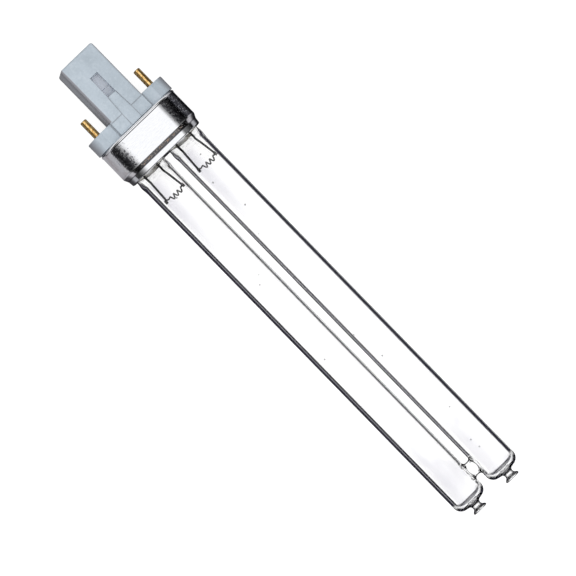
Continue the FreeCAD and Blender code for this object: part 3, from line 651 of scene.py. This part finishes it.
def glass_mesh():
    b = Builder()
    count = 120
    far_o = [p for p in arc_pts(END_X - DOME - CORNER, R - CORNER, CORNER, 90, 9, 12)]
    px, pr = far_o[-1]
    far_o += [(END_X - 0.12, 2.6), (END_X - 0.02, 2.15), (END_X + 0.10, 1.86), (END_X + 0.32, 1.66), (END_X + 0.62, 1.56),
              (END_X + 1.0, 1.53), (END_X + 1.35, 1.6), (END_X + 1.62, 1.78), (END_X + 1.82, 2.03), (END_X + 1.97, 2.28)]
    far_o += arc_pts(RIM_X - 0.33, RIM_R - 0.33, 0.33, 135, 0, 7)
    far_o = [(x, r) for x, r in far_o if x <= RIM_X + 1e-6]
    far_o += [(RIM_X - 0.06, RIM_R - 0.52), (RIM_X - 0.22, RIM_R - 0.75), (RIM_X - 0.5, 1.45), (RIM_X - 0.8, 1.15), (RIM_X - 1.1, 0.95),
              (RIM_X - 1.4, 0.72), (RIM_X - 1.55, 0.4), (RIM_X - 1.6, 0.0)]
    ci = CORNER - (R - RI)
    xi = END_X - 1.35
    far_i = [p for p in arc_pts(xi - 0.2 - ci, RI - ci, ci, 90, 9, 10)]
    far_i += [(xi - 0.06, 1.8), (xi - 0.01, 0.9), (xi, 0.0)]
    J = 16
    xs_o = [10.2, 12.4, 14.0] + list(np.arange(14.6, 24.2, 0.3)) + list(np.linspace(25, 148.5, 34)) + list(np.linspace(150.0, 159.2, 21))
    xs_o.append(END_X - DOME - CORNER - 0.05)
    i0 = xs_o.index(150.0)
    i1 = i0 + 20
    xs_i = list(np.arange(14.4, 24.4, 0.3)) + list(np.linspace(25, 149.0, 34)) + list(np.linspace(151.0, 158.2, 17))
    k0 = len(xs_i) - 17
    k1 = k0 + 16
    xs_i.append(xi - 0.2 - ci - 0.05)
    far_o = far_o[1:]
    far_i = far_i[1:]
    ends = {}
    for s in (-1, 1):
        ends[s, 0] = skin(b, s, count, xs_o, press_outer, far_o, False, 0, (BR, 0.9, i0, i1, J))
        ends[s, 1] = skin(b, s, count, xs_i, press_inner, far_i, True, 1, (BB, 0.35, k0, k1, 12))
    for kind in (0, 1):
        a, _ = ends[-1, kind]
        c, _ = ends[1, kind]
        n = len(a)
        for j in range(n):
            k = (j + 1) % n
            if kind == 0:
                b.quad(a[j], c[j], c[k], a[k], kind)
            else:
                b.quad(a[j], a[k], c[k], c[j], kind)
    return b


# Painted edge lines of the tubes: the glass tint darkens by facing angle, as painted shade for the dark room seen near
# each tube's edge.
# A ray that meets the wall near its edge is turned back at the bore and
# leaves towards the dark room: TURNED is its tint over the facing at which it leaves, from 0.177
# where the bore's edge lies to 0.267 at the tube's own edge.
W = 0.99
K = (0.0005, 0.00045, 0.0012)
H = (0.58, 0.57, 0.61)
OUT = [[(0.0, W), (0.95, W), (1.0, 0.9)] for _ in range(4)]
G1, G2 = (0.17, 0.165, 0.18), (0.25, 0.245, 0.265)
TURNED = [
    [(0.0, W), (0.138, W), (0.144, K), (0.182, K), (0.1845, G1), (0.191, G1), (0.1935, K), (0.2671, K)],
    [(0.0, W), (0.172, W), (0.179, 0.3), (0.185, K), (0.229, K), (0.237, 0.4), (0.247, 0.95)],
    [(0.0, W), (0.160, W), (0.168, K), (0.2115, K), (0.215, G2), (0.2275, G2), (0.231, K), (0.2671, K)],
    [(0.0, W), (0.150, W), (0.158, K), (0.231, K), (0.2426, 0.1), (0.2547, 0.55), (0.264, 0.9)],
]
# painted dark edge lines on the bore, by facing angle, one ramp for each side of each leg
BORE = [
    [(0.0, W), (0.51, W), (0.57, 0.0008), (1.0, 0.0008)],
    [(0.0, W), (1.0, W)],
    [(0.0, W), (0.72, W), (0.80, 0.04), (1.0, 0.04)],
    [(0.0, W), (0.62, W), (0.74, 0.05), (1.0, 0.05)],
]
# domed ends: painted shade, grey between a dark outline and a dark inner line; stubs: painted dark sides; bridge: a
# painted dark band
TIP = [(0.0, 0.99), (0.32, 0.97), (0.42, 0.30), (0.48, 0.03), (0.54, K), (0.78, K), (0.88, 0.02), (0.95, 0.35)]
TIP_BORE = [(0.0, W), (0.30, W), (0.42, 0.45), (0.50, 0.02), (0.60, K), (0.88, K), (0.95, 0.2)]
STUB = [(0.0, 0.97), (0.12, 0.9), (0.26, 0.22), (0.40, 0.02), (0.55, K), (1.0, K)]
SPAN = [(0.0, W), (0.42, W), (0.50, 0.01), (0.94, 0.01), (0.99, 0.5)]
SPAN_BORE = [(0.0, W), (1.0, W)]
glass = glass_mesh().object("glass_tubes", [
    mat_glass("clear_glass", OUT, specks_and_shade=True, tip=TIP, stub=STUB, bridge=SPAN, turned=TURNED),
    mat_glass("clear_glass_bore", BORE, tip=TIP_BORE, bridge=SPAN_BORE, turned=[[(0.0, W), (0.45, W), (0.62, K), (1.0, K)]])], hollow=(1,))
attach(glass, "root")
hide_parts("glass_envelope")

# ------------------------------------------------------------------ CAD nodes keep their shape
shell_mat = mat_shell()
plastic = mat_plastic()
brass = mat_brass()
lead = mat_wire("nickel_lead", (0.005, 0.005, 0.006), (0.024, 0.024, 0.027), (0.45, 0.65), 0.8)
tungsten = mat_wire("tungsten_coil", (0.005, 0.005, 0.006), (0.022, 0.022, 0.025), (0.45, 0.65), 0.8)
cement = mat_wire("basing_cement_mat", (0.62, 0.58, 0.50), (0.75, 0.72, 0.64), (0.8, 0.95), 0.0, 900)
tinned = mat_wire("tinned_wire_mat", (0.6, 0.6, 0.6), (0.75, 0.75, 0.76), (0.25, 0.4))
bimetal = mat_wire("bimetal_strip", (0.35, 0.31, 0.27), (0.45, 0.41, 0.36), (0.35, 0.5))
capcoat = mat_wire("capacitor_coat_mat", (0.42, 0.12, 0.03), (0.5, 0.16, 0.05), (0.2, 0.35), 0.0)
sleeve = mat_wire("sleeving", (0.75, 0.73, 0.66), (0.85, 0.83, 0.77), (0.7, 0.9), 0.0, 3000)
stglass = mat_glass("starter_glass_mat", [[(0.0, (1, 1, 1)), (1.0, (0.7, 0.72, 0.72))]])
looks = {
    "base_housing": plastic, "contact_pin_left": brass, "contact_pin_right": brass, "metal_shell": shell_mat,
    "glass_envelope": glass.data.materials[0], "filament_left": tungsten, "filament_right": tungsten,
    "lead_wire_left_outer": lead, "lead_wire_left_inner": lead, "lead_wire_right_inner": lead,
    "lead_wire_right_outer": lead, "basing_cement": cement, "starter_bulb": stglass,
    "starter_fixed_electrode": lead, "starter_bimetal_electrode": bimetal, "suppressor_capacitor": capcoat,
    "capacitor_lead_left": tinned, "capacitor_lead_right": tinned,
    "insulating_sleeve_left": sleeve, "insulating_sleeve_right": sleeve,
}
for name, mat in looks.items():
    o = nodes[name]
    for s in o.material_slots:
        s.material = mat

# ------------------------------------------------------------------ floor
def make_floor():
    me = bpy.data.meshes.new("floor")
    S = 4.0
    me.from_pydata([(-S, -S, 0), (S, -S, 0), (S, S, 0), (-S, S, 0)], [], [(0, 1, 2, 3)])
    o = bpy.data.objects.new("floor", me)
    o.location.z = -0.00002
    scene.collection.objects.link(o)
    m = new_mat("pale_floor")
    t = Tree(m)
    n = t.noise(40, 3, 0.5, t.coords())
    col = t.ramp(n, [(0.3, (0.245, 0.245, 0.245)), (0.7, (0.255, 0.255, 0.255))])
    p = t.principled(Base_Color=col)
    p.inputs["Roughness"].default_value = 0.9
    p.inputs["Specular IOR Level"].default_value = 0.0
    p.inputs["Emission Color"].default_value = (1, 1, 1, 1)
    p.inputs["Emission Strength"].default_value = 0.86
    pos = t.t.nodes.new("ShaderNodeSeparateXYZ")
    t.link(t.coords(), pos.inputs[0])
    # what polished metal and glass mirror of it: grey beside the shell's left end, dark elsewhere
    left = t.ramp(t.math("MULTIPLY_ADD", pos.outputs["Y"], 10.0, 0.5, clamp=True), [(0.0, 1.0), (0.36, 1.0), (0.40, 0.0)])
    by_shell = t.ramp(t.math("MULTIPLY_ADD", pos.outputs["X"], 5.0, 0.5, clamp=True), [(0.0, 0.0), (0.150, 0.0), (0.158, 1.0), (0.21, 1.0), (0.225, 0.1)])
    grey = t.mix(t.math("MULTIPLY", left, by_shell), (0.012, 0.012, 0.015), (0.40, 0.39, 0.41))
    away = t.math("MAXIMUM", t.step(t.math("ABSOLUTE", pos.outputs["Y"]), 0.026, 0.055), t.step(t.math("ABSOLUTE", pos.outputs["X"]), 0.13, 0.20))
    grey = t.mix(away, grey, (0.46, 0.46, 0.48))
    em = t.t.nodes.new("ShaderNodeEmission")
    t.link(grey, em.inputs["Color"])
    bounce = t.t.nodes.new("ShaderNodeEmission")
    bounce.inputs["Color"].default_value = (0.97, 0.985, 1.0, 1)
    bounce.inputs["Strength"].default_value = FLOOR_BOUNCE
    lp = t.t.nodes.new("ShaderNodeLightPath")
    mirror = t.math("MULTIPLY", lp.outputs["Is Reflection Ray"], t.math("SUBTRACT", 1.0, lp.outputs["Is Diffuse Ray"]))
    m1 = t.t.nodes.new("ShaderNodeMixShader")
    t.link(lp.outputs["Is Diffuse Ray"], m1.inputs[0])
    t.link(p.outputs[0], m1.inputs[1])
    t.link(bounce.outputs[0], m1.inputs[2])
    mx = t.t.nodes.new("ShaderNodeMixShader")
    t.link(mirror, mx.inputs[0])
    t.link(m1.outputs[0], mx.inputs[1])
    t.link(em.outputs[0], mx.inputs[2])
    t.surface(mx.outputs[0])
    m.cycles.emission_sampling = "NONE"
    me.materials.append(m)
    return o


FLOOR_BOUNCE = 0.28
make_floor()

# ------------------------------------------------------------------ studio surroundings
def make_world():
    w = bpy.data.worlds.new("studio")
    w.cycles.sampling_method = "NONE"
    scene.world = w
    w.use_nodes = True
    nt = w.node_tree
    nt.nodes.clear()
    t = Tree.__new__(Tree)
    t.t = nt
    out = nt.nodes.new("ShaderNodeOutputWorld")
    tc = nt.nodes.new("ShaderNodeTexCoord")
    sep = nt.nodes.new("ShaderNodeSeparateXYZ")
    nt.links.new(tc.outputs["Generated"], sep.inputs[0])
    X, Y, Z = sep.outputs["X"], sep.outputs["Y"], sep.outputs["Z"]

    def level(v):
        """Lift a sky direction's angle from the zenith, in degrees, to 0..1 over -90..90."""
        ang = t.math("ARCTAN2", v, Z)
        return t.math("MULTIPLY_ADD", ang, 57.29578 / 180.0, 0.5)

    def stops(pairs):
        return [((a + 90.0) / 180.0, b) for a, b in pairs]

    def lamp(strength, colour=(1, 1, 1)):
        n = nt.nodes.new("ShaderNodeBackground")
        n.inputs["Color"].default_value = tuple(colour) + (1,)
        if isinstance(strength, bpy.types.NodeSocket):
            nt.links.new(strength, n.inputs["Strength"])
        else:
            n.inputs["Strength"].default_value = strength
        return n.outputs[0]

    # soft light: a wide overhead panel, weaker towards the sides
    soft = t.math("MULTIPLY_ADD", t.math("POWER", t.math("MAXIMUM", Z, 0.0), 1.5), SKY_TOP, SKY_LOW)
    soft = t.math("MULTIPLY_ADD", t.math("MAXIMUM", t.math("MULTIPLY", Y, -1.0), 0.0), SKY_LEFT, soft)
    # mirrored: a white panel overhead, dark walls beyond it, a grey one low on the left
    across = t.ramp(level(Y), stops([(-90, 0.33), (-84, 0.24), (-78, 0.075), (-71, 0.028), (-64, 0.055), (-57, 0.10),
                                     (-50, 0.17), (-44, 0.27), (-38, 0.42), (-32, 0.62), (-24, 0.95), (-18, 1.15),
                                     (22, 1.15), (30, 0.45), (36, 0.12), (44, 0.17), (50, 0.14), (57, 0.10),
                                     (64, 0.055), (72, 0.03), (80, 0.014), (90, 0.012)]))
    along = t.ramp(level(X), stops([(-90, 0.9), (-58, 0.9), (-50, 0.15), (-41, 0.15), (-35, 1.0), (34, 1.0), (42, 0.10), (90, 0.05)]))
    # low light from the post's end, which only the rolled rim turns to
    rim = t.ramp(level(X), stops([(-90, 0.95), (-62, 0.95), (-54, 0.0), (0, 0.0)]))
    mirrored = t.math("MAXIMUM", t.math("MULTIPLY", across, along), t.math("MULTIPLY", rim, t.math("GREATER_THAN", Z, -0.05)))
    lp = nt.nodes.new("ShaderNodeLightPath")
    mirror = t.math("MULTIPLY", lp.outputs["Is Reflection Ray"], t.math("SUBTRACT", 1.0, lp.outputs["Is Diffuse Ray"]))
    seen = t.math("MAXIMUM", lp.outputs["Is Camera Ray"], lp.outputs["Is Transmission Ray"])
    m1 = nt.nodes.new("ShaderNodeMixShader")
    nt.links.new(mirror, m1.inputs[0])
    nt.links.new(lamp(soft), m1.inputs[1])
    nt.links.new(lamp(mirrored), m1.inputs[2])
    m2 = nt.nodes.new("ShaderNodeMixShader")
    nt.links.new(seen, m2.inputs[0])
    nt.links.new(m1.outputs[0], m2.inputs[1])
    nt.links.new(lamp(1.0), m2.inputs[2])
    nt.links.new(m2.outputs[0], out.inputs["Surface"])


SKY_TOP, SKY_LOW, SKY_LEFT = 1.15, 0.45, 0.25
make_world()

# ------------------------------------------------------------------ camera
# Angles and place follow the photograph: a long lens about 1.8 m away, 5.7 degrees off the
# square view towards the left pin, rolled so that the lamp runs to the lower right.
CAM_DIST = 1800.0
CAM_LEAN = math.radians(5.7)
CAM_ROLL = math.radians(45.75)
AIM = (74.67, -1.92, 0.0)
PX_PER_MM = 3.225
cam_data = bpy.data.cameras.new("camera")
cam = bpy.data.objects.new("camera", cam_data)
scene.collection.objects.link(cam)
back = row_dir(0, -math.sin(CAM_LEAN), math.cos(CAM_LEAN))
xl = row_dir(1, 0, 0)
yl = back.cross(xl).normalized()
cr, sr = math.cos(CAM_ROLL), math.sin(CAM_ROLL)
right = xl * cr + yl * sr
up = xl * -sr + yl * cr
place = row(*AIM) + back * (CAM_DIST * 1e-3)
cam.matrix_world = Matrix(((right.x, up.x, back.x, place.x), (right.y, up.y, back.y, place.y),
                           (right.z, up.z, back.z, place.z), (0, 0, 0, 1)))
cam_data.sensor_width = 36.0
cam_data.lens = PX_PER_MM * CAM_DIST * 36.0 / 576.0
cam_data.clip_start = 0.05
cam_data.clip_end = 30.0
scene.camera = cam

scene.view_settings.view_transform = "Standard"
scene.view_settings.look = "None"
scene.view_settings.exposure = 0.0
scene.view_settings.gamma = 1.0
scene.cycles.transparent_max_bounces = 24
scene.cycles.transmission_bounces = 16
scene.cycles.max_bounces = 20
